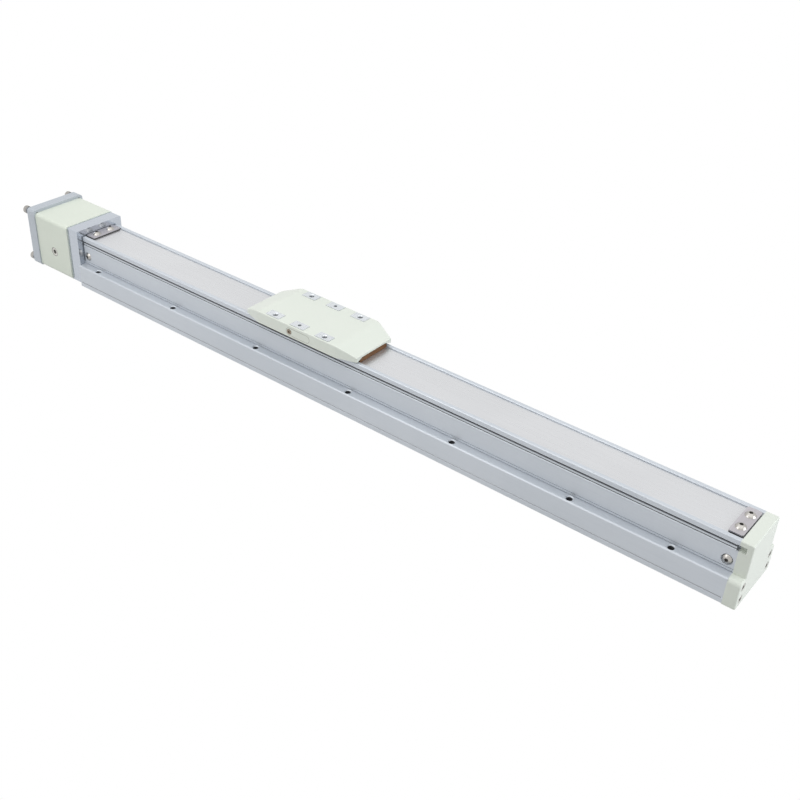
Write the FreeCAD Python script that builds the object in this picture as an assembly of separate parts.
import FreeCAD, Part
import math
import os

from FreeCAD import Vector

# Ball screw linear stage, in millimetres.
# X runs along the stage towards the idle end, Z is up, and the origin is the middle of
# the flat underside of the base.

# Height of the screw's axis, from which the heights of the body are taken
AXIS_Z = 29.8

# Base extrusion
BASE_LENGTH = 641.0
BASE_WIDTH = 54.0
LEDGE_HEIGHT = 21.6
LEDGE_ROUND = 1.4
FOOT_CHAMFER = 0.9
SIDE_GROOVE_Z = 5.0
SIDE_GROOVE = 0.45
JOINT_GROOVE = 0.7
FLOOR_Z = 8.0
RELIEF_IN = 6.0
RELIEF_OUT = 16.0
RELIEF_DEPTH = 1.0
LIP_HEIGHT = 2.3
LIP_SETBACK = 0.25
WALL_OVER_AXIS = 7.7
WALL_THICKNESS = 1.6

# Upper body: side covers with a sensor slot, and the dust strip between them
BODY_WIDTH = 39.8
BODY_OVER_AXIS = 18.2
COVER_WALL = 2.6
COVER_WALL_GAP = 0.1
COVER_HEAD_GAP = 0.6
SIDE_COVER_START = 1.3
RIM_WIDTH = 3.5
RIM_ROUND = 0.5
STRIP_DROP = 1.5
SEAT_WIDTH = 3.0
SLOT_DROP = 6.0
SLOT_MOUTH = 3.6
SLOT_LIP = 1.1
SLOT_DEPTH = 2.6
SLOT_WIDTH = 4.8
SLOT_EDGE = 0.3
SLOT_LAND = 1.4
SLOT_LAND_DROP = 0.4
SLOT_END_CUT = 1.6
STRIP_THICKNESS = 0.25
STRIP_CLEARANCE = 0.4
STRIP_END_GAP = 0.6
MAGNET_WIDTH = 2.0
MAGNET_THICKNESS = 0.9
MAGNET_INSET = 0.4

# Mounting holes in the ledges
HOLE_START = 22.7
HOLE_PITCH = 100.0
LEAST_PITCH = 40.0
LAST_HOLE = 41.3
HOLE_Y = 23.0
HOLE_BORE = 4.5
HOLE_MOUTH = 6.0

# Screw and the slide that runs inside the base
SCREW_D = 12.0
SCREW_CLEARANCE = 0.05
NUT_D = 20.0
NUT_LENGTH = 36.0
NUT_FLANGE_D = 22.6
NUT_FLANGE = 4.0
SLIDE_WIDTH = 23.8
SLIDE_LENGTH = 66.0
SLIDE_UNDER_AXIS = 13.8
SLIDE_STRIP_GAP = 0.9
RETURN_CAP = 6.0
END_SEAL = 1.0
BALL_D = 3.0
BALL_CLEARANCE = 0.05
BALL_GAP = 1.0
LOW_ROW_UNDER_AXIS = 9.3
HIGH_ROW_OVER_AXIS = 4.2
BALLS_PER_ROW = 7
BALL_ROW_INSET = 1.0
CAP_SHAFT_ROOM = 1.0
SEAL_SHAFT_ROOM = 0.5
CAP_TOP_GAP = 1.0
TABLE_SCREW_INSET_X = 8.0
TABLE_SCREW_INSET_Y = 4.5
TABLE_SCREW_THREAD = 5.0
TABLE_SCREW_HEAD = 2.2
TABLE_SCREW_SINK = 0.4
RAIL_THICKNESS = 2.7
RAIL_UNDER_AXIS = 15.8
RAIL_ROOM = 0.2

# Carriage table and its moulded cover
CARRIAGE_FROM_DRIVE = 270.7
TABLE_LENGTH = 66.4
TABLE_FLOOR = 2.0
TABLE_GAP = 1.2
EAR_WIDTH = 8.0
EAR_ROOM = 0.2
EAR_TOP_DROP = 2.4
TABLE_RISE = 12.0
PAD_LENGTH = 14.0
PAD_PITCH = 26.0
PAD_Y = 21.25
TABLE_BORE = 4.2
TABLE_MOUTH = 5.4
TABLE_THREAD_DEPTH = 8.0
DOWEL_BORE = 3.0
DOWEL_DEPTH = 6.0
COVER_LENGTH = 116.6
COVER_WIDTH = 52.8
COVER_ROOF = 1.5
COVER_SIDE = 1.0
COVER_SINK = 0.35
COVER_END_RUN = 20.0
COVER_END_IN = 5.7
COVER_END_DOWN = 6.5
COVER_CREASE = 16.0
COVER_SKIRT_GAP = 1.3
COVER_EDGE = 0.8
COVER_END_THICKER = 0.6
CAVITY_ROOM = 0.4
STRIP_CREST_REACH = 1.0
WINDOW_GAP = 0.15
MOUTH_RISE = 3.7
MOUTH_HALF_TOP = 14.0
MOUTH_HALF_FOOT = 19.6
CAVITY_END_WALL = 17.0
STRIP_LIFT_GAP = 1.0
ROLLER_D = 3.0
ROLLER_LENGTH = 24.0
ROLLER_PIN_D = 1.6
ROLLER_INSET = 4.6
ROLLER_PIN_HOLD = 3.0
ROLLER_BORE_GAP = 0.05
ROLLER_STRIP_GAP = 0.1
WIPER_INSET = 0.6
WIPER_THICKNESS = 2.0
WIPER_SIDE_GAP = 0.4
WIPER_STRIP_GAP = 0.1
PORT_FROM_CENTRE = -6.6
PORT_D = 4.4
PORT_DROP = 6.2
PORT_PROUD = 0.3
PORT_FLOOR = 0.3
PORT_HOLE_SHARE = 0.45

# Screw support at each end of the base
BLOCK_LENGTH = 24.5
BLOCK_ROOM = 0.2
RETAINER = 2.5
RETAINER_SIZE = 25.2
RETAINER_BORE = 15.0
RETAINER_ROUND = 1.5
RETAINER_SCREW_THREAD = 6.0
RETAINER_SCREW_GAP = 0.3
RETAINER_HEAD_D = 4.6
RETAINER_HEAD = 1.4
RETAINER_KEY = 2.0
BUMPER = 3.2
BUMPER_D = 21.0
BUMPER_BORE = 16.0
BUMPER_EDGE = 0.8
FIXED_BEARING_D = 26.0
FIXED_BEARING_BORE = 10.0
FIXED_BEARING_WIDTH = 8.0
FIXED_BEARING_BALL = 4.0
FIXED_BEARING_BALLS = 8
IDLE_BEARING_D = 22.0
IDLE_BEARING_BORE = 8.0
IDLE_BEARING_WIDTH = 7.0
IDLE_BEARING_BALL = 3.6
IDLE_BEARING_BALLS = 7
RACE_RISE = 1.4
RACE_CLEARANCE = 0.05
CAGE_WIDTH_SHARE = 0.6
CAGE_HALF = 0.5
SHAFT_HOLE = 16.0
LOCK_NUT_D = 18.0
LOCK_NUT_LENGTH = 8.0
LOCK_NUT_GAP = 0.3
LOCK_NUT_SLOT = 3.0
LOCK_NUT_SLOT_DEPTH = 1.5
LOCK_NUT_SLOTS = 4
SPACER_ROOM = 0.6
CLIP_D = 11.2
CLIP_THICKNESS = 0.9
CLIP_OPENING = 3.2
IDLE_TIP = 5.0
SHAFT_CHAMFER = 0.5

# Strip clamps and the screws of the upper body
CLAMP_LENGTH = 10.2
CLAMP_WIDTH = 30.8
CLAMP_THICKNESS = 0.9
CLAMP_PAD = 1.1
CLAMP_ROUND = 1.6
CLAMP_INSET = 0.8
CLAMP_SCREW_Y = 7.5
CLAMP_SCREW_THREAD = 3.0
WALL_SCREW_INSET = 5.6
WALL_SCREW_THREAD = 6.0
BLIND_END = 0.5
M4_D = 4.0
BUTTON_D = 7.6
BUTTON_HEIGHT = 2.2
HEX_4 = 2.5
SPOT_DEPTH = 1.0

# Drive plate, coupling housing and motor flange
PLATE_THICKNESS = 13.7
PLATE_WIDTH = 50.4
PLATE_RISE = 6.3
PLATE_BOTTOM = 2.0
PLATE_BORE = 20.0
PLATE_EDGE = 1.0
HOUSING_LENGTH = 45.5
HOUSING_WIDTH = 53.2
HOUSING_PROUD = 0.6
HOUSING_ROUND = 3.2
HOUSING_BORE = 39.0
FLANGE_THICKNESS = 10.1
FLANGE_SIZE = 55.6
FLANGE_ROUND = 3.0
PILOT_D = 38.1
MOTOR_BOLT_SQUARE = 47.14
MOTOR_SCREW_GRIP = 3.4
MOTOR_SCREW_THREAD = 8.0
WASHER_D = 6.8
WASHER_HEIGHT = 1.1
WASHER_SPLIT = 0.6
CAP_HEAD_D = 7.0
CAP_HEAD = 4.0
HEX_CAP = 3.0
TIE_Y = 22.4
TIE_RISE = 14.0
TIE_THREAD = 8.0
PLATE_SCREW_LOW_Y = 20.6
PLATE_SCREW_LOW_Z = 6.5
PLATE_SCREW_HIGH_Y = 9.2
PLATE_SCREW_HIGH_Z = 40.8
PLATE_SCREW_THREAD = 7.0
SCREW_ROOM = 0.2
HEAD_ROOM = 0.3
HEAD_SINK = 0.4
SPOT_ROOM = 0.4
PLUG_D = 8.0
PLUG_FROM_PLATE = 22.3
PLUG_Z = 23.4
PLUG_LENGTH = 5.0
PLUG_SUNK = 0.2
PLUG_KEY_DEPTH = 3.0
PLUG_EDGE = 0.4

# Shaft coupling
COUPLING_D = 25.0
HUB_LENGTH = 12.0
JAW_LENGTH = 6.0
JAW_ANGLE = 42.0
JAW_BORE = 9.0
JAW_ROOM = 0.3
SPIDER_PETAL = 14.0
HUB_SLIT = 1.0
JOURNAL_D = 8.0
JOURNAL_SHORT = 1.0
SPIDER_BORE = 4.0
SPIDER_ROOM = 0.2
SPIDER_RIM = 0.5
MOTOR_SHAFT_D = 6.35
COUPLING_FROM_PLATE = 14.0
HUB_SCREW_D = 3.0
HUB_SCREW_Y = 8.0
HUB_SCREW_LENGTH = 14.0

# End cap
CAP_THICKNESS = 9.2
CAP_EDGE = 1.0
CAP_LEDGE_ROUND = 3.5
CAP_LIFT = 0.3
CAP_SCREW_Y = 21.2
CAP_SCREW_LOW = 5.6
CAP_SCREW_HIGH = 16.0
M3_D = 3.0
M3_HEAD_D = 5.5
M3_HEAD = 3.0
CAP_NOTCH = 5.0
CAP_HEAD_ROOM = 0.15
CAP_HEAD_SINK = 0.1
CAP_SCREW_THREAD = 6.0

# Places worked out from the sizes above
WALL_TOP = AXIS_Z + WALL_OVER_AXIS
BODY_HEIGHT = AXIS_Z + BODY_OVER_AXIS
SLOT_Z = BODY_HEIGHT - SLOT_DROP
TABLE_HEIGHT = BODY_HEIGHT + TABLE_RISE
MOUTH_TOP = BODY_HEIGHT + MOUTH_RISE
PLATE_TOP = BODY_HEIGHT + PLATE_RISE
HOUSING_TOP = PLATE_TOP + HOUSING_PROUD
SLIDE_BOTTOM = AXIS_Z - SLIDE_UNDER_AXIS
SLIDE_TOP = BODY_HEIGHT - STRIP_DROP - SLIDE_STRIP_GAP
BALL_ROW_LOW = AXIS_Z - LOW_ROW_UNDER_AXIS
BALL_ROW_HIGH = AXIS_Z + HIGH_ROW_OVER_AXIS
RAIL_BOTTOM = AXIS_Z - RAIL_UNDER_AXIS
DRIVE = -BASE_LENGTH / 2
IDLE = BASE_LENGTH / 2
CENTRE = DRIVE + CARRIAGE_FROM_DRIVE
HALF_BASE = BASE_WIDTH / 2
HALF_BODY = BODY_WIDTH / 2
STRIP_SEAT = BODY_HEIGHT - STRIP_DROP
RECESS = HALF_BODY - RIM_WIDTH
OPENING = RECESS - SEAT_WIDTH
WALL_OUT = HALF_BODY - COVER_WALL - COVER_WALL_GAP
WALL_IN = WALL_OUT - WALL_THICKNESS
RAIL_IN = WALL_IN - RAIL_THICKNESS
LIP_TOP = LEDGE_HEIGHT + LIP_HEIGHT
HEAD_FOOT = WALL_TOP + COVER_HEAD_GAP
BALL_Y = SLIDE_WIDTH / 2 + BALL_GAP / 2
PLATE_FACE = DRIVE - PLATE_THICKNESS
HOUSING_FACE = PLATE_FACE - HOUSING_LENGTH
MOTOR_FACE = HOUSING_FACE - FLANGE_THICKNESS
COVER_TOP = TABLE_HEIGHT - COVER_SINK
TABLE_BOTTOM = BODY_HEIGHT + TABLE_GAP
TROUGH_FLOOR = TABLE_BOTTOM + TABLE_FLOOR
SKIRT_Z = BODY_HEIGHT + COVER_SKIRT_GAP
RAIL_START = BLOCK_LENGTH + RAIL_ROOM
EAR_OUT = COVER_WIDTH / 2 - COVER_SIDE - EAR_ROOM
EAR_IN = EAR_OUT - EAR_WIDTH
CORNERS = [(-1, -1), (-1, 1), (1, -1), (1, 1)]


def box(x0, x1, y0, y1, z0, z1):
    return Part.makeBox(x1 - x0, y1 - y0, z1 - z0, Vector(x0, y0, z0))


def rod_x(x0, x1, y, z, diameter):
    return Part.makeCylinder(diameter / 2, x1 - x0, Vector(x0, y, z), Vector(1, 0, 0))


def rod_y(y0, y1, x, z, diameter):
    return Part.makeCylinder(diameter / 2, y1 - y0, Vector(x, y0, z), Vector(0, 1, 0))


def rod_z(z0, z1, x, y, diameter):
    return Part.makeCylinder(diameter / 2, z1 - z0, Vector(x, y, z0), Vector(0, 0, 1))


def tube_x(x0, x1, outer, inner, z=AXIS_Z):
    return rod_x(x0, x1, 0, z, outer).cut(rod_x(x0, x1, 0, z, inner))


def prism_x(section, x0, x1):
    # Extrudes a closed (y, z) outline along X.
    points = [Vector(x0, y, z) for y, z in section]
    face = Part.Face(Part.makePolygon(points + points[:1]))
    return face.extrude(Vector(x1 - x0, 0, 0))


def hex_x(x0, x1, y, z, across):
    radius = across / math.sqrt(3)
    corners = [(y + radius * math.cos(math.radians(60 * k)),
                z + radius * math.sin(math.radians(60 * k))) for k in range(6)]
    return prism_x(corners, x0, x1)


def mirror_y(shape):
    return shape.mirror(Vector(0, 0, 0), Vector(0, 1, 0))


def both_sides(shape):
    return [shape, mirror_y(shape)]


def turn_to(shape, direction):
    # Turns a shape built pointing along +X at the origin so that it points along direction.
    turned = shape.copy()
    turned.Placement = FreeCAD.Placement(Vector(0, 0, 0), FreeCAD.Rotation(Vector(1, 0, 0), direction))
    return turned


def place(shape, x, y, z):
    moved = shape.copy()
    moved.translate(Vector(x, y, z))
    return moved


def edges_along(shape, direction, test):
    # Straight edges that run along direction and whose middle passes the test.
    found = []
    for edge in shape.Edges:
        start, end = edge.Vertexes[0].Point, edge.Vertexes[-1].Point
        run = end - start
        if run.Length > 0.01 and abs(abs(run.normalize().dot(direction)) - 1) < 1e-6:
            if test((start + end) * 0.5):
                found.append(edge)
    return found


def save(name, shapes):
    solids = []
    for shape in shapes if isinstance(shapes, list) else [shapes]:
        solids += shape.Solids
    whole = solids[0] if len(solids) == 1 else Part.makeCompound(solids)
    whole.exportStep("parts/" + name + ".step")


# Screws, built with the head's underside at x = 0 and the thread running along +X

def button_screw(length, diameter=M4_D, head=BUTTON_D, height=BUTTON_HEIGHT, key=HEX_4):
    # The dome is the part of a sphere that stands above the head's rim.
    ball = (head * head / 4 + height * height) / (2 * height)
    dome = Part.makeSphere(ball, Vector(ball - height, 0, 0))
    dome = dome.common(rod_x(-height, 0, 0, 0, head))
    dome = dome.cut(hex_x(-height, -height * 0.35, 0, 0, key))
    return dome.fuse(rod_x(0, length, 0, 0, diameter)).removeSplitter()


def cap_screw(length, diameter=M4_D, head=CAP_HEAD_D, height=CAP_HEAD, key=HEX_CAP):
    top = rod_x(-height, 0, 0, 0, head)
    top = top.makeChamfer(height * 0.1, [e for e in top.Edges if e.BoundBox.XMax < -height * 0.9])
    top = top.cut(hex_x(-height, -height * 0.45, 0, 0, key))
    return top.fuse(rod_x(0, length, 0, 0, diameter)).removeSplitter()


# Base and rails

def hole_places():
    # Even pitches from the drive end, and the last hole at its own distance from the idle end.
    first, last = DRIVE + HOLE_START, IDLE - LAST_HOLE
    count = int((last - LEAST_PITCH - first) / HOLE_PITCH) + 1
    return [first + HOLE_PITCH * k for k in range(count)] + [last]


def base_section():
    # Right half, from the middle of the floor round to the middle of the underside.
    groove = SIDE_GROOVE
    lip = HALF_BODY - LIP_SETBACK
    half = [(0, FLOOR_Z), (RAIL_IN, FLOOR_Z), (RAIL_IN, RAIL_BOTTOM), (WALL_IN, RAIL_BOTTOM),
            (WALL_IN, WALL_TOP), (WALL_OUT, WALL_TOP), (WALL_OUT, LIP_TOP),
            (lip, LIP_TOP), (lip, LEDGE_HEIGHT + JOINT_GROOVE),
            (lip - JOINT_GROOVE, LEDGE_HEIGHT), (HALF_BASE, LEDGE_HEIGHT),
            (HALF_BASE, SIDE_GROOVE_Z + groove), (HALF_BASE - groove, SIDE_GROOVE_Z),
            (HALF_BASE, SIDE_GROOVE_Z - groove), (HALF_BASE, FOOT_CHAMFER),
            (HALF_BASE - FOOT_CHAMFER, 0), (RELIEF_OUT, 0),
            (RELIEF_OUT - RELIEF_DEPTH, RELIEF_DEPTH), (RELIEF_IN + RELIEF_DEPTH, RELIEF_DEPTH),
            (RELIEF_IN, 0), (0, 0)]
    return half


def base_profile():
    half = prism_x(base_section(), DRIVE, IDLE)
    base = half.fuse(mirror_y(half)).removeSplitter()
    rims = edges_along(base, Vector(1, 0, 0),
                       lambda p: abs(abs(p.y) - HALF_BASE) < 0.01 and abs(p.z - LEDGE_HEIGHT) < 0.01)
    base = base.makeFillet(LEDGE_ROUND, rims)
    drills = []
    flare = (HOLE_MOUTH - HOLE_BORE) / 2
    for x in hole_places():
        for y in (-HOLE_Y, HOLE_Y):
            drills.append(rod_z(0, LEDGE_HEIGHT, x, y, HOLE_BORE))
            drills.append(Part.makeCone(HOLE_BORE / 2, HOLE_MOUTH / 2, flare,
                                        Vector(x, y, LEDGE_HEIGHT - flare)))
            drills.append(Part.makeCone(HOLE_MOUTH / 2, HOLE_BORE / 2, flare, Vector(x, y, 0)))
    for end, inward in ((DRIVE, 1), (IDLE, -1)):
        x = end + inward * WALL_SCREW_INSET
        for side in (-1, 1):
            y0, y1 = sorted((side * WALL_IN, side * WALL_OUT))
            drills.append(rod_y(y0, y1, x, AXIS_Z, M4_D + 2 * SCREW_ROOM))
    for side in (-1, 1):
        drills.append(rod_x(DRIVE, DRIVE + PLATE_SCREW_THREAD + BLIND_END, side * PLATE_SCREW_LOW_Y,
                            PLATE_SCREW_LOW_Z, M4_D))
        for z in (CAP_SCREW_LOW, CAP_SCREW_HIGH):
            drills.append(rod_x(IDLE - CAP_SCREW_THREAD - BLIND_END, IDLE, side * CAP_SCREW_Y, z, M3_D))
    return base.cut(Part.makeCompound(drills))


def ball_channels(x0, x1):
    diameter = BALL_D + 2 * BALL_CLEARANCE
    return [rod_x(x0, x1, side * BALL_Y, z, diameter)
            for side in (-1, 1) for z in (BALL_ROW_LOW, BALL_ROW_HIGH)]


def guide_rail():
    rail = box(DRIVE + RAIL_START, IDLE - RAIL_START, RAIL_IN, WALL_IN, RAIL_BOTTOM, WALL_TOP - RAIL_ROOM)
    return rail.cut(Part.makeCompound(ball_channels(DRIVE, IDLE)))


# Upper body

def side_cover():
    mouth_low = SLOT_Z - SLOT_MOUTH / 2
    mouth_high = SLOT_Z + SLOT_MOUTH / 2
    low = SLOT_Z - SLOT_WIDTH / 2
    high = SLOT_Z + SLOT_WIDTH / 2
    lip = HALF_BODY - SLOT_LIP
    back = lip - SLOT_DEPTH
    land_face = HALF_BODY - SLOT_LAND_DROP
    land_high = SLOT_Z - SLOT_LAND_DROP + SLOT_LAND / 2
    land_low = land_high - SLOT_LAND
    edge = HALF_BODY - SLOT_EDGE
    inner = HALF_BODY - COVER_WALL
    section = [(inner, LIP_TOP), (inner, HEAD_FOOT), (OPENING, HEAD_FOOT),
               (OPENING, STRIP_SEAT), (OPENING + MAGNET_INSET, STRIP_SEAT),
               (OPENING + MAGNET_INSET, STRIP_SEAT - MAGNET_THICKNESS),
               (OPENING + MAGNET_INSET + MAGNET_WIDTH, STRIP_SEAT - MAGNET_THICKNESS),
               (OPENING + MAGNET_INSET + MAGNET_WIDTH, STRIP_SEAT), (RECESS, STRIP_SEAT),
               (RECESS, BODY_HEIGHT - RIM_ROUND), (RECESS + RIM_ROUND, BODY_HEIGHT),
               (HALF_BODY - RIM_ROUND, BODY_HEIGHT), (HALF_BODY, BODY_HEIGHT - RIM_ROUND),
               (HALF_BODY, mouth_high + SLOT_EDGE), (edge, mouth_high), (lip, mouth_high),
               (lip, high), (back, high), (back, land_high), (land_face, land_high),
               (land_face, land_low), (back, land_low), (back, low), (lip, low),
               (lip, mouth_low), (edge, mouth_low), (HALF_BODY, mouth_low - SLOT_EDGE),
               (HALF_BODY, LIP_TOP + JOINT_GROOVE), (HALF_BODY - JOINT_GROOVE, LIP_TOP)]
    cover = prism_x(section, DRIVE + SIDE_COVER_START, IDLE)
    cover = cover.cut(box(IDLE - SLOT_END_CUT, IDLE, back, HALF_BODY, low, high))
    for x in (DRIVE + WALL_SCREW_INSET, IDLE - WALL_SCREW_INSET):
        cover = cover.cut(rod_y(inner, HALF_BODY, x, AXIS_Z, M4_D + 2 * SCREW_ROOM))
        cover = cover.cut(rod_y(HALF_BODY - SPOT_DEPTH, HALF_BODY, x, AXIS_Z, BUTTON_D + 2 * SPOT_ROOM))
    return cover


def magnet():
    inner = OPENING + MAGNET_INSET
    return box(DRIVE + BLOCK_LENGTH, IDLE - BLOCK_LENGTH, inner, inner + MAGNET_WIDTH,
               STRIP_SEAT - MAGNET_THICKNESS, STRIP_SEAT)


def strip_path():
    # Flat on the seats, and lifted over the table floor inside the carriage cover.
    low = STRIP_SEAT
    high = TROUGH_FLOOR + STRIP_LIFT_GAP
    foot = COVER_LENGTH / 2
    crest = TABLE_LENGTH / 2 + STRIP_CREST_REACH
    return [(DRIVE + STRIP_END_GAP, low), (CENTRE - foot, low), (CENTRE - crest, high),
            (CENTRE + crest, high), (CENTRE + foot, low), (IDLE - STRIP_END_GAP, low)]


def dust_strip():
    half = RECESS - STRIP_CLEARANCE
    path = strip_path()
    under = [Vector(x, -half, z) for x, z in path]
    over = [Vector(x, -half, z + STRIP_THICKNESS) for x, z in reversed(path)]
    strip = Part.Face(Part.makePolygon(under + over + under[:1])).extrude(Vector(0, 2 * half, 0))
    for x in (DRIVE + clamp_screw_inset(), IDLE - clamp_screw_inset()):
        for y in (-CLAMP_SCREW_Y, CLAMP_SCREW_Y):
            strip = strip.cut(rod_z(STRIP_SEAT - 1, STRIP_SEAT + 1, x, y, M4_D + 2 * SCREW_ROOM))
    return strip


def clamp_screw_inset():
    return CLAMP_INSET + CLAMP_LENGTH / 2


def clamp_layer(x, z0, thickness):
    half = CLAMP_LENGTH / 2
    layer = box(x - half, x + half, -CLAMP_WIDTH / 2, CLAMP_WIDTH / 2, z0, z0 + thickness)
    layer = layer.makeFillet(CLAMP_ROUND, edges_along(layer, Vector(0, 0, 1), lambda p: True))
    for y in (-CLAMP_SCREW_Y, CLAMP_SCREW_Y):
        layer = layer.cut(rod_z(z0, z0 + thickness, x, y, M4_D + 2 * SCREW_ROOM))
    return layer


def strip_clamp_pad(x):
    return clamp_layer(x, STRIP_SEAT + STRIP_THICKNESS, CLAMP_PAD)


def strip_clamp(x):
    return clamp_layer(x, STRIP_SEAT + STRIP_THICKNESS + CLAMP_PAD, CLAMP_THICKNESS)


def strip_clamp_screws():
    z = STRIP_SEAT + STRIP_THICKNESS + CLAMP_PAD + CLAMP_THICKNESS
    screw = turn_to(button_screw(z - STRIP_SEAT + CLAMP_SCREW_THREAD), Vector(0, 0, -1))
    return [place(screw, x, y, z) for x in (DRIVE + clamp_screw_inset(), IDLE - clamp_screw_inset())
            for y in (-CLAMP_SCREW_Y, CLAMP_SCREW_Y)]


def side_cover_screws():
    head = HALF_BODY - SPOT_DEPTH
    length = head - (WALL_IN - WALL_SCREW_THREAD)
    found = []
    for side in (-1, 1):
        screw = turn_to(button_screw(length), Vector(0, -side, 0))
        found += [place(screw, x, side * head, AXIS_Z)
                  for x in (DRIVE + WALL_SCREW_INSET, IDLE - WALL_SCREW_INSET)]
    return found


# Screw supports

def support_block(end, inward, bearing_d, bearing_width):
    # The block fills the channel, and its bearing pocket opens towards the carriage.
    x0, x1 = sorted((end, end + inward * BLOCK_LENGTH))
    room = BLOCK_ROOM
    half = [(0, FLOOR_Z), (RAIL_IN - room, FLOOR_Z), (RAIL_IN - room, RAIL_BOTTOM),
            (WALL_IN, RAIL_BOTTOM), (WALL_IN, WALL_TOP), (OPENING, WALL_TOP),
            (OPENING, STRIP_SEAT), (0, STRIP_SEAT)]
    part = prism_x(half, x0, x1)
    part = part.fuse(mirror_y(part)).removeSplitter()
    mouth = end + inward * BLOCK_LENGTH
    pocket = sorted((mouth, mouth - inward * bearing_width))
    part = part.cut(rod_x(pocket[0], pocket[1], 0, AXIS_Z, bearing_d))
    part = part.cut(rod_x(x0, x1, 0, AXIS_Z, SHAFT_HOLE))
    x = end + inward * WALL_SCREW_INSET
    for side in (-1, 1):
        y0, y1 = sorted((side * (WALL_IN - WALL_SCREW_THREAD - BLIND_END), side * WALL_IN))
        part = part.cut(rod_y(y0, y1, x, AXIS_Z, M4_D))
        part = part.cut(rod_z(STRIP_SEAT - CLAMP_SCREW_THREAD - BLIND_END, STRIP_SEAT,
                              end + inward * clamp_screw_inset(), side * CLAMP_SCREW_Y, M4_D))
    step = retainer_step()
    for side_y, side_z in CORNERS:
        deep = sorted((mouth, mouth - inward * (RETAINER_SCREW_THREAD + BLIND_END)))
        part = part.cut(rod_x(deep[0], deep[1], side_y * step, AXIS_Z + side_z * step, M3_D))
    return part


def bearing_housing():
    part = support_block(DRIVE, 1, FIXED_BEARING_D, 2 * FIXED_BEARING_WIDTH)
    for side in (-1, 1):
        part = part.cut(rod_x(DRIVE, DRIVE + PLATE_SCREW_THREAD + BLIND_END, side * PLATE_SCREW_HIGH_Y,
                              PLATE_SCREW_HIGH_Z, M4_D))
    return part


def idle_bearing_block():
    return support_block(IDLE, -1, IDLE_BEARING_D, IDLE_BEARING_WIDTH)


def retainer_step():
    # The retainer's screws pass outside the larger bearing.
    return (FIXED_BEARING_D / 2 + M3_D / 2 + RETAINER_SCREW_GAP) / math.sqrt(2)


def retainer(end, inward):
    x0, x1 = sorted((end + inward * BLOCK_LENGTH, end + inward * (BLOCK_LENGTH + RETAINER)))
    half = RETAINER_SIZE / 2
    plate = box(x0, x1, -half, half, AXIS_Z - half, AXIS_Z + half)
    plate = plate.makeFillet(RETAINER_ROUND, edges_along(plate, Vector(1, 0, 0), lambda p: True))
    plate = plate.cut(rod_x(x0, x1, 0, AXIS_Z, RETAINER_BORE))
    for side_y, side_z in CORNERS:
        plate = plate.cut(rod_x(x0, x1, side_y * retainer_step(), AXIS_Z + side_z * retainer_step(),
                                M3_D + 2 * SCREW_ROOM))
    return plate


def retainer_screws():
    found = []
    for end, inward in ((DRIVE, 1), (IDLE, -1)):
        face = end + inward * (BLOCK_LENGTH + RETAINER)
        screw = button_screw(RETAINER + RETAINER_SCREW_THREAD, M3_D, RETAINER_HEAD_D, RETAINER_HEAD,
                             RETAINER_KEY)
        screw = turn_to(screw, Vector(-inward, 0, 0))
        for side_y, side_z in CORNERS:
            found.append(place(screw, face, side_y * retainer_step(), AXIS_Z + side_z * retainer_step()))
    return found


def bumper(end, inward):
    face = end + inward * (BLOCK_LENGTH + RETAINER)
    x0, x1 = sorted((face, face + inward * BUMPER))
    ring = tube_x(x0, x1, BUMPER_D, BUMPER_BORE)
    outer = [e for e in ring.Edges if abs(e.BoundBox.XLength) < 0.01 and e.BoundBox.YLength > BUMPER_D - 0.1
             and abs(e.BoundBox.XMax - (face + inward * BUMPER)) < 0.01]
    return ring.makeChamfer(BUMPER_EDGE, outer)


def race_ball_d(bearing_d, bore):
    return (bearing_d + bore) / 2


def outer_ring(x0, x1, outer_d, bore, ball):
    pitch = race_ball_d(outer_d, bore)
    ring = tube_x(x0, x1, outer_d, pitch + ball - RACE_RISE)
    groove = Part.makeTorus(pitch / 2, ball / 2 + RACE_CLEARANCE, Vector((x0 + x1) / 2, 0, AXIS_Z),
                            Vector(1, 0, 0))
    return ring.cut(groove)


def inner_ring(x0, x1, outer_d, bore, ball):
    pitch = race_ball_d(outer_d, bore)
    ring = tube_x(x0, x1, pitch - ball + RACE_RISE, bore)
    groove = Part.makeTorus(pitch / 2, ball / 2 + RACE_CLEARANCE, Vector((x0 + x1) / 2, 0, AXIS_Z),
                            Vector(1, 0, 0))
    return ring.cut(groove)


def cage_and_balls(x0, x1, outer_d, bore, ball, count):
    pitch = race_ball_d(outer_d, bore)
    middle = (x0 + x1) / 2
    reach = ball * CAGE_WIDTH_SHARE
    cage = tube_x(middle - reach, middle + reach, pitch + 2 * CAGE_HALF, pitch - 2 * CAGE_HALF)
    balls = []
    for k in range(count):
        angle = 2 * math.pi * k / count
        centre = Vector(middle, pitch / 2 * math.cos(angle), AXIS_Z + pitch / 2 * math.sin(angle))
        balls.append(Part.makeSphere(ball / 2, centre))
        cage = cage.cut(Part.makeSphere(ball / 2 + RACE_CLEARANCE, centre))
    return cage, balls


def fixed_bearing_spans():
    inner_face = DRIVE + BLOCK_LENGTH
    return [(inner_face - FIXED_BEARING_WIDTH, inner_face),
            (inner_face - 2 * FIXED_BEARING_WIDTH, inner_face - FIXED_BEARING_WIDTH)]


def idle_bearing_span():
    return IDLE - BLOCK_LENGTH, IDLE - BLOCK_LENGTH + IDLE_BEARING_WIDTH


# Ball screw and what turns with it

def hub_far_end():
    # Where the coupling half on the screw stops, seen from the drive plate.
    return PLATE_FACE - COUPLING_FROM_PLATE


def lock_nut_span():
    end = DRIVE - LOCK_NUT_GAP
    return end - LOCK_NUT_LENGTH, end


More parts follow.
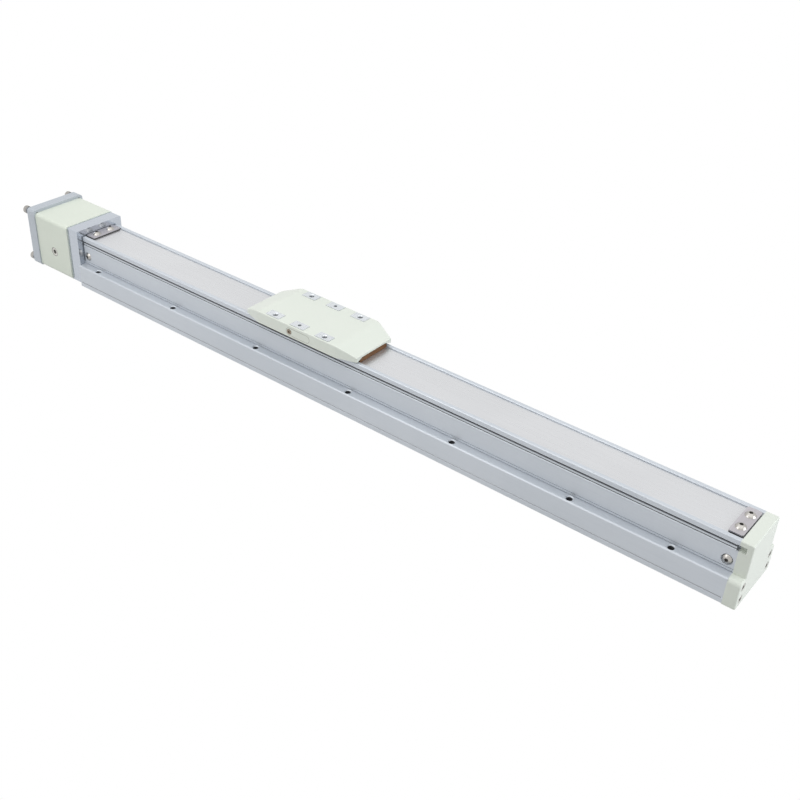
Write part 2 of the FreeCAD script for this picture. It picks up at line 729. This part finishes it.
def ball_screw():
    fixed = DRIVE + BLOCK_LENGTH
    idle = IDLE - BLOCK_LENGTH
    end = idle + IDLE_BEARING_WIDTH + IDLE_TIP
    tip = hub_far_end() - HUB_LENGTH + JOURNAL_SHORT
    nut_start = lock_nut_span()[0]
    shaft = rod_x(fixed, idle, 0, AXIS_Z, SCREW_D)
    shaft = shaft.fuse(rod_x(nut_start, fixed, 0, AXIS_Z, FIXED_BEARING_BORE))
    shaft = shaft.fuse(rod_x(tip, nut_start, 0, AXIS_Z, JOURNAL_D))
    shaft = shaft.fuse(rod_x(idle, end, 0, AXIS_Z, IDLE_BEARING_BORE))
    shaft = shaft.removeSplitter()
    ends = [e for e in shaft.Edges if e.BoundBox.XLength < 0.01
            and (e.BoundBox.XMax < tip + 0.01 or e.BoundBox.XMin > end - 0.01)]
    return shaft.makeChamfer(SHAFT_CHAMFER, ends)


def lock_nut():
    start, end = lock_nut_span()
    nut = tube_x(start, end, LOCK_NUT_D, FIXED_BEARING_BORE)
    half = LOCK_NUT_SLOT / 2
    for k in range(LOCK_NUT_SLOTS):
        slot = box(start, start + LOCK_NUT_LENGTH / 2, LOCK_NUT_D / 2 - LOCK_NUT_SLOT_DEPTH, LOCK_NUT_D,
                   -half, half)
        slot.rotate(Vector(0, 0, 0), Vector(1, 0, 0), 360 * k / LOCK_NUT_SLOTS)
        slot.translate(Vector(0, 0, AXIS_Z))
        nut = nut.cut(slot)
    return nut


def spacer():
    seat = DRIVE + BLOCK_LENGTH - 2 * FIXED_BEARING_WIDTH
    return tube_x(lock_nut_span()[1], seat, SHAFT_HOLE - 2 * SPACER_ROOM, FIXED_BEARING_BORE)


def circlip():
    x0 = idle_bearing_span()[1]
    ring = tube_x(x0, x0 + CLIP_THICKNESS, CLIP_D, IDLE_BEARING_BORE)
    half = CLIP_OPENING / 2
    return ring.cut(box(x0, x0 + CLIP_THICKNESS, -half, half, AXIS_Z, AXIS_Z + CLIP_D))


def sector(x0, x1, outer, inner, middle, width):
    # A piece of tube that spans width degrees round the axis.
    ring = Part.makeCylinder(outer / 2, x1 - x0, Vector(x0, 0, AXIS_Z), Vector(1, 0, 0), width)
    ring = ring.cut(rod_x(x0, x1, 0, AXIS_Z, inner))
    ring.rotate(Vector(0, 0, AXIS_Z), Vector(1, 0, 0), middle - width / 2)
    return ring


def coupling_hub(x0, x1, jaw_x0, jaw_x1, bore, first_jaw):
    hub = tube_x(x0, x1, COUPLING_D, bore)
    for k in range(3):
        hub = hub.fuse(sector(jaw_x0, jaw_x1, COUPLING_D, JAW_BORE, first_jaw + 120 * k, JAW_ANGLE))
    hub = hub.removeSplitter()
    hub = hub.cut(box(x0, x1, -COUPLING_D, 0, AXIS_Z - HUB_SLIT / 2, AXIS_Z + HUB_SLIT / 2))
    hub = hub.cut(clamp_screw_bore((x0 + x1) / 2))
    return hub


def clamp_screw_bore(x):
    low = AXIS_Z - HUB_SCREW_LENGTH / 2
    hole = rod_z(low - M3_HEAD, low + HUB_SCREW_LENGTH, x, -HUB_SCREW_Y, HUB_SCREW_D)
    return hole.fuse(rod_z(AXIS_Z - COUPLING_D, low, x, -HUB_SCREW_Y, M3_HEAD_D + 2 * SCREW_ROOM))


def coupling_places():
    hub_end = hub_far_end()
    jaw_end = hub_end - HUB_LENGTH
    motor_hub = jaw_end - JAW_LENGTH
    return hub_end, jaw_end, motor_hub


def coupling_hub_screw():
    hub_end, jaw_end, motor_hub = coupling_places()
    return coupling_hub(jaw_end, hub_end, motor_hub + JAW_ROOM, jaw_end, JOURNAL_D, 30)


def coupling_hub_motor():
    hub_end, jaw_end, motor_hub = coupling_places()
    return coupling_hub(motor_hub - HUB_LENGTH, motor_hub, motor_hub, jaw_end - JAW_ROOM, MOTOR_SHAFT_D, 90)


def coupling_spider():
    hub_end, jaw_end, motor_hub = coupling_places()
    x0, x1 = motor_hub + JAW_ROOM, jaw_end - JAW_ROOM
    core = JAW_BORE - 2 * SPIDER_ROOM
    star = tube_x(x0, x1, core, SPIDER_BORE)
    rim = COUPLING_D - 2 * SPIDER_RIM
    for k in range(6):
        star = star.fuse(sector(x0, x1, rim, core - SPIDER_ROOM, 60 * k, SPIDER_PETAL))
    return star.removeSplitter()


def coupling_clamp_screws():
    hub_end, jaw_end, motor_hub = coupling_places()
    low = AXIS_Z - HUB_SCREW_LENGTH / 2
    screw = cap_screw(HUB_SCREW_LENGTH - BLIND_END, M3_D, M3_HEAD_D, M3_HEAD, HEX_4)
    screw = turn_to(screw, Vector(0, 0, 1))
    middles = ((hub_end + jaw_end) / 2, motor_hub - HUB_LENGTH / 2)
    return [place(screw, x, -HUB_SCREW_Y, low) for x in middles]


# Slide inside the base

def slide_block():
    half = SLIDE_LENGTH / 2
    block = box(CENTRE - half, CENTRE + half, -SLIDE_WIDTH / 2, SLIDE_WIDTH / 2, SLIDE_BOTTOM, SLIDE_TOP)
    block = block.cut(rod_x(CENTRE - half, CENTRE + half, 0, AXIS_Z, NUT_D))
    block = block.cut(rod_x(CENTRE + half - NUT_FLANGE, CENTRE + half, 0, AXIS_Z, NUT_FLANGE_D))
    block = block.cut(Part.makeCompound(ball_channels(CENTRE - half, CENTRE + half)))
    for x, y in table_screw_places():
        block = block.cut(rod_z(SLIDE_TOP - TABLE_SCREW_THREAD - BLIND_END, SLIDE_TOP, x, y, M4_D))
    return block


def table_screw_places():
    return [(CENTRE + side_x * (SLIDE_LENGTH / 2 - TABLE_SCREW_INSET_X),
             side_y * (SLIDE_WIDTH / 2 - TABLE_SCREW_INSET_Y))
            for side_x, side_y in CORNERS]


def ball_nut():
    end = CENTRE + SLIDE_LENGTH / 2
    bore = SCREW_D + 2 * SCREW_CLEARANCE
    nut = rod_x(end - NUT_LENGTH, end, 0, AXIS_Z, NUT_D)
    nut = nut.fuse(rod_x(end - NUT_FLANGE, end, 0, AXIS_Z, NUT_FLANGE_D)).removeSplitter()
    return nut.cut(rod_x(end - NUT_LENGTH, end, 0, AXIS_Z, bore))


def return_cap(side):
    x0, x1 = sorted((CENTRE + side * SLIDE_LENGTH / 2, CENTRE + side * (SLIDE_LENGTH / 2 + RETURN_CAP)))
    cap = box(x0, x1, -SLIDE_WIDTH / 2, SLIDE_WIDTH / 2, SLIDE_BOTTOM, SLIDE_TOP - CAP_TOP_GAP)
    for z in (BALL_ROW_LOW, BALL_ROW_HIGH):
        for y in (-BALL_Y, BALL_Y):
            cap = cap.cut(rod_x(x0, x1, y, z, BALL_D + 2 * BALL_CLEARANCE))
    return cap.cut(rod_x(x0, x1, 0, AXIS_Z, SCREW_D + 2 * CAP_SHAFT_ROOM))


def end_seal(side):
    inner = SLIDE_LENGTH / 2 + RETURN_CAP
    x0, x1 = sorted((CENTRE + side * inner, CENTRE + side * (inner + END_SEAL)))
    seal = box(x0, x1, -SLIDE_WIDTH / 2, SLIDE_WIDTH / 2, SLIDE_BOTTOM, SLIDE_TOP - CAP_TOP_GAP)
    return seal.cut(rod_x(x0, x1, 0, AXIS_Z, SCREW_D + 2 * SEAL_SHAFT_ROOM))


def guide_balls():
    step = (SLIDE_LENGTH - BALL_D - 2 * BALL_ROW_INSET) / (BALLS_PER_ROW - 1)
    start = CENTRE - step * (BALLS_PER_ROW - 1) / 2
    return [Part.makeSphere(BALL_D / 2, Vector(start + step * k, side * BALL_Y, z))
            for side in (-1, 1) for z in (BALL_ROW_LOW, BALL_ROW_HIGH) for k in range(BALLS_PER_ROW)]


# Table and moulded cover

def pad_places():
    return [(CENTRE + PAD_PITCH * step, side * PAD_Y) for step in (-1, 0, 1) for side in (-1, 1)]


def carriage_table():
    half = TABLE_LENGTH / 2
    x0, x1 = CENTRE - half, CENTRE + half
    table = box(CENTRE - SLIDE_LENGTH / 2, CENTRE + SLIDE_LENGTH / 2, -SLIDE_WIDTH / 2, SLIDE_WIDTH / 2,
                SLIDE_TOP, TABLE_BOTTOM)
    table = table.fuse(box(x0, x1, -EAR_OUT, EAR_OUT, TABLE_BOTTOM, TROUGH_FLOOR))
    for y0, y1 in ((-EAR_OUT, -EAR_IN), (EAR_IN, EAR_OUT)):
        table = table.fuse(box(x0, x1, y0, y1, TROUGH_FLOOR, TABLE_HEIGHT - EAR_TOP_DROP))
        for step in (-1, 0, 1):
            x = CENTRE + PAD_PITCH * step
            table = table.fuse(box(x - PAD_LENGTH / 2, x + PAD_LENGTH / 2, y0, y1,
                                   TABLE_HEIGHT - EAR_TOP_DROP, TABLE_HEIGHT))
    table = table.removeSplitter()
    flare = (TABLE_MOUTH - TABLE_BORE) / 2
    for x, y in pad_places():
        if abs(x - CENTRE) > PAD_PITCH / 2:
            table = table.cut(rod_z(TABLE_HEIGHT - TABLE_THREAD_DEPTH, TABLE_HEIGHT, x, y, TABLE_BORE))
            table = table.cut(Part.makeCone(TABLE_BORE / 2, TABLE_MOUTH / 2, flare,
                                            Vector(x, y, TABLE_HEIGHT - flare)))
        else:
            table = table.cut(rod_z(TABLE_HEIGHT - DOWEL_DEPTH, TABLE_HEIGHT, x, y, DOWEL_BORE))
    sunk = TABLE_BOTTOM - TABLE_SCREW_SINK
    for x, y in table_screw_places():
        table = table.cut(rod_z(SLIDE_TOP, TROUGH_FLOOR, x, y, M4_D + 2 * SCREW_ROOM))
        table = table.cut(rod_z(sunk, TROUGH_FLOOR, x, y, CAP_HEAD_D + 2 * SCREW_ROOM))
    return table


def table_screws():
    # Low heads, sunk in the trough under the strip.
    z = TABLE_BOTTOM - TABLE_SCREW_SINK
    screw = cap_screw(z - SLIDE_TOP + TABLE_SCREW_THREAD, height=TABLE_SCREW_HEAD, key=HEX_4)
    screw = turn_to(screw, Vector(0, 0, -1))
    return [place(screw, x, y, z) for x, y in table_screw_places()]


def arc_through(a, b, c):
    return Part.Arc(a, b, c).toShape()


def eased_end(run, drop):
    # Middle and end of the arc that leaves a straight side tangent to it. From the arc's end a
    # tangent line runs on to the point that lies drop below the side after run.
    rise = COVER_CREASE - drop
    angle = math.atan2(run, rise) - math.acos(COVER_CREASE / math.hypot(run, rise))
    return [(COVER_CREASE * math.sin(part), COVER_CREASE * (1 - math.cos(part)))
            for part in (angle / 2, angle)]


def cover_outline(flat, half, base, run, drop, foot):
    # Outline in one plane: flat side of length 2 * flat at height half, eased at both ends,
    # closed by a straight line at height foot. base turns a pair into a point.
    middle, end = eased_end(run, drop)
    edges = [Part.makeLine(base(-flat, half), base(flat, half))]
    for side in (-1, 1):
        start, crease, slope, tip = [base(side * (flat + x), half - z)
                                     for x, z in ((0, 0), middle, end, (run, drop))]
        edges.append(arc_through(start, crease, slope))
        edges.append(Part.makeLine(slope, tip))
        edges.append(Part.makeLine(tip, base(side * (flat + run), foot)))
    edges.append(Part.makeLine(base(-flat - run, foot), base(flat + run, foot)))
    return Part.Face(Part.Wire(Part.sortEdges(edges)[0]))


def cover_body():
    flat = COVER_LENGTH / 2 - COVER_END_RUN
    half = COVER_WIDTH / 2
    side = cover_outline(flat, COVER_TOP, lambda x, z: Vector(CENTRE + x, -half, z),
                         COVER_END_RUN, COVER_END_DOWN, SKIRT_Z)
    body = side.extrude(Vector(0, COVER_WIDTH, 0))
    plan = cover_outline(flat, half, lambda x, y: Vector(CENTRE + x, y, SKIRT_Z),
                         COVER_END_RUN, COVER_END_IN, 0)
    plan = plan.extrude(Vector(0, 0, COVER_TOP - SKIRT_Z))
    plan = plan.fuse(mirror_y(plan)).removeSplitter()
    body = body.common(plan)
    shoulders = [e for e in body.Edges if e.BoundBox.ZMin > COVER_TOP - COVER_END_DOWN - 0.1
                 and e.BoundBox.XLength > 1.0]
    return body.makeFillet(COVER_EDGE, shoulders)


def carriage_cover():
    cover = cover_body()
    inner = COVER_WIDTH / 2 - COVER_SIDE
    reach = COVER_LENGTH / 2 - CAVITY_END_WALL
    cover = cover.cut(box(CENTRE - reach, CENTRE + reach, -inner + COVER_END_THICKER,
                          inner - COVER_END_THICKER,
                          SKIRT_Z - 1, COVER_TOP - COVER_ROOF))
    table_half = TABLE_LENGTH / 2 + CAVITY_ROOM
    cover = cover.cut(box(CENTRE - table_half, CENTRE + table_half, -inner, inner,
                          SKIRT_Z - 1, COVER_TOP - COVER_ROOF))
    mouth = [(-MOUTH_HALF_FOOT, SKIRT_Z - 1), (MOUTH_HALF_FOOT, SKIRT_Z - 1),
             (MOUTH_HALF_FOOT, SKIRT_Z), (MOUTH_HALF_TOP, MOUTH_TOP),
             (-MOUTH_HALF_TOP, MOUTH_TOP), (-MOUTH_HALF_FOOT, SKIRT_Z)]
    cover = cover.cut(prism_x(mouth, CENTRE - COVER_LENGTH, CENTRE + COVER_LENGTH))
    gap = WINDOW_GAP
    for x, y in pad_places():
        y0, y1 = sorted((math.copysign(EAR_IN - gap, y), math.copysign(inner, y)))
        cover = cover.cut(box(x - PAD_LENGTH / 2 - gap, x + PAD_LENGTH / 2 + gap, y0, y1,
                              COVER_TOP - 2 * COVER_ROOF, COVER_TOP + 1))
    for x in roller_places():
        pin = ROLLER_LENGTH / 2 + ROLLER_PIN_HOLD
        cover = cover.cut(rod_y(-pin, pin, x, roller_height(), ROLLER_PIN_D))
    cover = cover.cut(rod_y(-COVER_WIDTH / 2 - 1, -COVER_WIDTH / 2 + COVER_SIDE, port_place()[0],
                            port_place()[1], PORT_D + 2 * WINDOW_GAP))
    return cover


def port_place():
    return CENTRE + PORT_FROM_CENTRE, TABLE_HEIGHT - PORT_DROP


def grease_port():
    # Round fitting that stands on the table's side, with a blind feed hole.
    x, z = port_place()
    face = -EAR_OUT
    out = -COVER_WIDTH / 2 - PORT_PROUD
    fitting = rod_y(out, face, x, z, PORT_D)
    return fitting.cut(rod_y(out, face - PORT_FLOOR, x, z, PORT_D * PORT_HOLE_SHARE))


def strip_height(x):
    # Top of the strip at a place under the sloping run inside the cover.
    path = strip_path()
    (x0, z0), (x1, z1) = path[1], path[2]
    reach = abs(x - CENTRE)
    share = (abs(x0 - CENTRE) - reach) / (abs(x0 - CENTRE) - abs(x1 - CENTRE))
    return z0 + (z1 - z0) * share + STRIP_THICKNESS


def strip_wiper(side):
    # Felt block in the tunnel mouth, whose foot follows the slope of the strip.
    end = CENTRE + side * (COVER_LENGTH / 2 - WIPER_INSET)
    back = end - side * WIPER_THICKNESS
    low = strip_height(end) + WIPER_STRIP_GAP
    half = RECESS - WIPER_SIDE_GAP
    fall = (MOUTH_TOP - SKIRT_Z) / (MOUTH_HALF_FOOT - MOUTH_HALF_TOP)
    shoulder = MOUTH_TOP - fall * (half - MOUTH_HALF_TOP)
    section = [(-half, low), (half, low), (half, shoulder), (MOUTH_HALF_TOP, MOUTH_TOP),
               (-MOUTH_HALF_TOP, MOUTH_TOP), (-half, shoulder)]
    x0, x1 = sorted((end, back))
    block = prism_x(section, x0, x1)
    under = [Vector(x, -half, z) for x, z in ((end, low), (back, strip_height(back) + WIPER_STRIP_GAP),
                                              (back, low))]
    return block.cut(Part.Face(Part.makePolygon(under + under[:1])).extrude(Vector(0, 2 * half, 0)))


def roller_places():
    reach = COVER_LENGTH / 2 - ROLLER_INSET
    return [CENTRE - reach, CENTRE + reach]


def roller_height():
    return strip_height(roller_places()[0] + ROLLER_D / 2) + ROLLER_D / 2 + ROLLER_STRIP_GAP


def strip_roller(x):
    z = roller_height()
    half = ROLLER_LENGTH / 2
    roller = rod_y(-half, half, x, z, ROLLER_D)
    return roller.cut(rod_y(-half, half, x, z, ROLLER_PIN_D + 2 * ROLLER_BORE_GAP))


def roller_pins():
    reach = ROLLER_LENGTH / 2 + ROLLER_PIN_HOLD
    return [rod_y(-reach, reach, x, roller_height(), ROLLER_PIN_D) for x in roller_places()]


# Drive end

def rounded_block(x0, x1, width, z0, z1, radius):
    block = box(x0, x1, -width / 2, width / 2, z0, z1)
    return block.makeFillet(radius, edges_along(block, Vector(1, 0, 0), lambda p: True))


def plate_screw_places():
    return [(side * PLATE_SCREW_LOW_Y, PLATE_SCREW_LOW_Z) for side in (-1, 1)] + \
           [(side * PLATE_SCREW_HIGH_Y, PLATE_SCREW_HIGH_Z) for side in (-1, 1)]


def tie_places():
    return [(side_y * TIE_Y, AXIS_Z + side_z * TIE_RISE) for side_y, side_z in CORNERS]


def motor_bolt_places():
    half = MOTOR_BOLT_SQUARE / 2
    return [(side_y * half, AXIS_Z + side_z * half) for side_y, side_z in CORNERS]


def drive_plate():
    plate = rounded_block(PLATE_FACE, DRIVE, PLATE_WIDTH, PLATE_BOTTOM, PLATE_TOP, PLATE_EDGE)
    plate = plate.cut(rod_x(PLATE_FACE, DRIVE, 0, AXIS_Z, PLATE_BORE))
    for y, z in plate_screw_places():
        plate = plate.cut(rod_x(PLATE_FACE, DRIVE, y, z, M4_D + 2 * SCREW_ROOM))
        plate = plate.cut(rod_x(PLATE_FACE, PLATE_FACE + CAP_HEAD + HEAD_SINK, y, z,
                                CAP_HEAD_D + 2 * HEAD_ROOM))
    for y, z in tie_places():
        plate = plate.cut(rod_x(PLATE_FACE, PLATE_FACE + TIE_THREAD + BLIND_END, y, z, M4_D))
    return plate


def drive_plate_screws():
    x = PLATE_FACE + CAP_HEAD + HEAD_SINK
    screw = cap_screw(DRIVE - x + PLATE_SCREW_THREAD)
    return [place(screw, x, y, z) for y, z in plate_screw_places()]


def coupling_housing():
    shell = rounded_block(HOUSING_FACE, PLATE_FACE, HOUSING_WIDTH, PLATE_BOTTOM, HOUSING_TOP, HOUSING_ROUND)
    shell = shell.cut(rod_x(HOUSING_FACE, PLATE_FACE, 0, AXIS_Z, HOUSING_BORE))
    for y, z in tie_places():
        shell = shell.cut(rod_x(HOUSING_FACE, PLATE_FACE, y, z, M4_D + 2 * SCREW_ROOM))
    x = PLATE_FACE - PLUG_FROM_PLATE
    face = -HOUSING_WIDTH / 2
    shell = shell.cut(rod_y(face, 0, x, PLUG_Z, PLUG_D))
    edge = Part.makeCone(PLUG_D / 2 + PLUG_EDGE, PLUG_D / 2, PLUG_EDGE, Vector(x, face, PLUG_Z),
                         Vector(0, 1, 0))
    return shell.cut(edge)


def access_plug():
    face = -HOUSING_WIDTH / 2
    x = PLATE_FACE - PLUG_FROM_PLATE
    plug = rod_y(face + PLUG_SUNK, face + PLUG_SUNK + PLUG_LENGTH, x, PLUG_Z, PLUG_D)
    socket = turn_to(hex_x(0, PLUG_KEY_DEPTH, 0, 0, PLUG_D / 2), Vector(0, 1, 0))
    return plug.cut(place(socket, x, face + PLUG_SUNK, PLUG_Z))


def motor_flange():
    half = FLANGE_SIZE / 2
    plate = rounded_block(MOTOR_FACE, HOUSING_FACE, FLANGE_SIZE, AXIS_Z - half, AXIS_Z + half, FLANGE_ROUND)
    plate = plate.cut(rod_x(MOTOR_FACE, HOUSING_FACE, 0, AXIS_Z, PILOT_D))
    for y, z in motor_bolt_places():
        plate = plate.cut(rod_x(MOTOR_FACE, HOUSING_FACE, y, z, M4_D))
    for y, z in tie_places():
        plate = plate.cut(rod_x(MOTOR_FACE, HOUSING_FACE, y, z, M4_D + 2 * SCREW_ROOM))
        plate = plate.cut(rod_x(MOTOR_FACE, MOTOR_FACE + CAP_HEAD + HEAD_SINK, y, z,
                                CAP_HEAD_D + 2 * HEAD_ROOM))
    return plate


def tie_screws():
    x = MOTOR_FACE + CAP_HEAD + HEAD_SINK
    screw = cap_screw(PLATE_FACE - x + TIE_THREAD)
    return [place(screw, x, y, z) for y, z in tie_places()]


def motor_screws():
    screw = cap_screw(MOTOR_SCREW_GRIP + MOTOR_SCREW_THREAD)
    return [place(screw, MOTOR_FACE - MOTOR_SCREW_GRIP, y, z) for y, z in motor_bolt_places()]


def spring_washers():
    x0 = MOTOR_FACE - MOTOR_SCREW_GRIP
    found = []
    for y, z in motor_bolt_places():
        ring = rod_x(x0, x0 + WASHER_HEIGHT, y, z, WASHER_D)
        ring = ring.cut(rod_x(x0, x0 + WASHER_HEIGHT, y, z, M4_D))
        found.append(ring.cut(box(x0, x0 + WASHER_HEIGHT, y - WASHER_SPLIT / 2, y + WASHER_SPLIT / 2, z,
                                  z + WASHER_D)))
    return found


# Idle end

def end_cap():
    half = [(0, CAP_LIFT), (HALF_BASE, CAP_LIFT), (HALF_BASE, LEDGE_HEIGHT), (HALF_BODY, LEDGE_HEIGHT),
            (HALF_BODY, BODY_HEIGHT), (0, BODY_HEIGHT)]
    cap = prism_x(half, IDLE, IDLE + CAP_THICKNESS)
    cap = cap.fuse(mirror_y(cap)).removeSplitter()
    ledge = edges_along(cap, Vector(1, 0, 0),
                        lambda p: abs(abs(p.y) - HALF_BASE) < 0.01 and abs(p.z - LEDGE_HEIGHT) < 0.01)
    cap = cap.makeFillet(CAP_LEDGE_ROUND, ledge)
    upper = edges_along(cap, Vector(1, 0, 0),
                        lambda p: abs(abs(p.y) - HALF_BODY) < 0.01 and abs(p.z - BODY_HEIGHT) < 0.01)
    cap = cap.makeFillet(CAP_EDGE, upper)
    face = [e for e in cap.Edges if e.BoundBox.XMin > IDLE + CAP_THICKNESS - 0.01 and e.BoundBox.ZMax > 1.0]
    cap = cap.makeFillet(CAP_EDGE, face)
    for side in (-1, 1):
        y0, y1 = sorted((side * (HALF_BODY - SLOT_LIP - SLOT_DEPTH), side * (HALF_BODY + 1)))
        cap = cap.cut(box(IDLE, IDLE + CAP_NOTCH, y0, y1, SLOT_Z - SLOT_WIDTH / 2, SLOT_Z + SLOT_WIDTH / 2))
        for z in (CAP_SCREW_LOW, CAP_SCREW_HIGH):
            cap = cap.cut(rod_x(IDLE, IDLE + CAP_THICKNESS, side * CAP_SCREW_Y, z, M3_D + 2 * SCREW_ROOM))
            cap = cap.cut(rod_x(cap_screw_seat(), IDLE + CAP_THICKNESS, side * CAP_SCREW_Y, z,
                                M3_HEAD_D + 2 * CAP_HEAD_ROOM))
    return cap


def cap_screw_seat():
    return IDLE + CAP_THICKNESS - M3_HEAD - CAP_HEAD_SINK


def end_cap_screws():
    x = cap_screw_seat()
    screw = turn_to(cap_screw(x - IDLE + CAP_SCREW_THREAD, M3_D, M3_HEAD_D, M3_HEAD, HEX_4),
                    Vector(-1, 0, 0))
    return [place(screw, x, side * CAP_SCREW_Y, z) for side in (-1, 1)
            for z in (CAP_SCREW_LOW, CAP_SCREW_HIGH)]


def build_base():
    save("base_profile", base_profile())
    rail = guide_rail()
    save("guide_rail_far", rail)
    save("guide_rail_near", mirror_y(rail))
    cover = side_cover()
    save("side_cover_far", cover)
    save("side_cover_near", mirror_y(cover))
    save("side_cover_screws", side_cover_screws())
    save("strip_magnets", both_sides(magnet()))
    save("dust_strip", dust_strip())
    save("strip_clamp_drive", strip_clamp(DRIVE + clamp_screw_inset()))
    save("strip_clamp_idle", strip_clamp(IDLE - clamp_screw_inset()))
    save("strip_clamp_pads", [strip_clamp_pad(DRIVE + clamp_screw_inset()),
                              strip_clamp_pad(IDLE - clamp_screw_inset())])
    save("strip_clamp_screws", strip_clamp_screws())
    save("end_cap", end_cap())
    save("end_cap_screws", end_cap_screws())


def build_supports():
    save("bearing_housing", bearing_housing())
    save("idle_bearing_block", idle_bearing_block())
    save("bearing_retainers", [retainer(DRIVE, 1), retainer(IDLE, -1)])
    save("retainer_screws", retainer_screws())
    save("bumper_drive", bumper(DRIVE, 1))
    save("bumper_idle", bumper(IDLE, -1))
    fixed = (FIXED_BEARING_D, FIXED_BEARING_BORE, FIXED_BEARING_BALL)
    idle = (IDLE_BEARING_D, IDLE_BEARING_BORE, IDLE_BEARING_BALL)
    spans = fixed_bearing_spans()
    save("fixed_bearing_outer_rings", [outer_ring(x0, x1, *fixed) for x0, x1 in spans])
    save("fixed_bearing_inner_rings", [inner_ring(x0, x1, *fixed) for x0, x1 in spans])
    sets = [cage_and_balls(x0, x1, *fixed, FIXED_BEARING_BALLS) for x0, x1 in spans]
    save("fixed_bearing_cages", [cage for cage, balls in sets])
    save("fixed_bearing_balls", [ball for cage, balls in sets for ball in balls])
    x0, x1 = idle_bearing_span()
    save("idle_bearing_outer_ring", outer_ring(x0, x1, *idle))
    save("idle_bearing_inner_ring", inner_ring(x0, x1, *idle))
    cage, balls = cage_and_balls(x0, x1, *idle, IDLE_BEARING_BALLS)
    save("idle_bearing_cage", cage)
    save("idle_bearing_balls", balls)


def build_screw():
    save("ball_screw", ball_screw())
    save("lock_nut", lock_nut())
    save("bearing_spacer", spacer())
    save("circlip", circlip())
    save("coupling_hub_screw", coupling_hub_screw())
    save("coupling_hub_motor", coupling_hub_motor())
    save("coupling_spider", coupling_spider())
    save("coupling_clamp_screws", coupling_clamp_screws())


def build_carriage():
    save("slide_block", slide_block())
    save("ball_nut", ball_nut())
    save("return_caps", [return_cap(-1), return_cap(1)])
    save("end_seals", [end_seal(-1), end_seal(1)])
    save("guide_balls", guide_balls())
    save("carriage_table", carriage_table())
    save("table_screws", table_screws())
    save("carriage_cover", carriage_cover())
    save("grease_port", grease_port())
    save("strip_wipers", [strip_wiper(-1), strip_wiper(1)])
    save("roller_pins", roller_pins())
    for name, x in zip(("strip_roller_drive", "strip_roller_idle"), roller_places()):
        save(name, strip_roller(x))


def build_drive_end():
    save("drive_plate", drive_plate())
    save("drive_plate_screws", drive_plate_screws())
    save("coupling_housing", coupling_housing())
    save("access_plug", access_plug())
    save("motor_flange", motor_flange())
    save("tie_screws", tie_screws())
    save("motor_screws", motor_screws())
    save("spring_washers", spring_washers())


os.makedirs("parts", exist_ok=True)
build_base()
build_supports()
build_screw()
build_carriage()
build_drive_end()
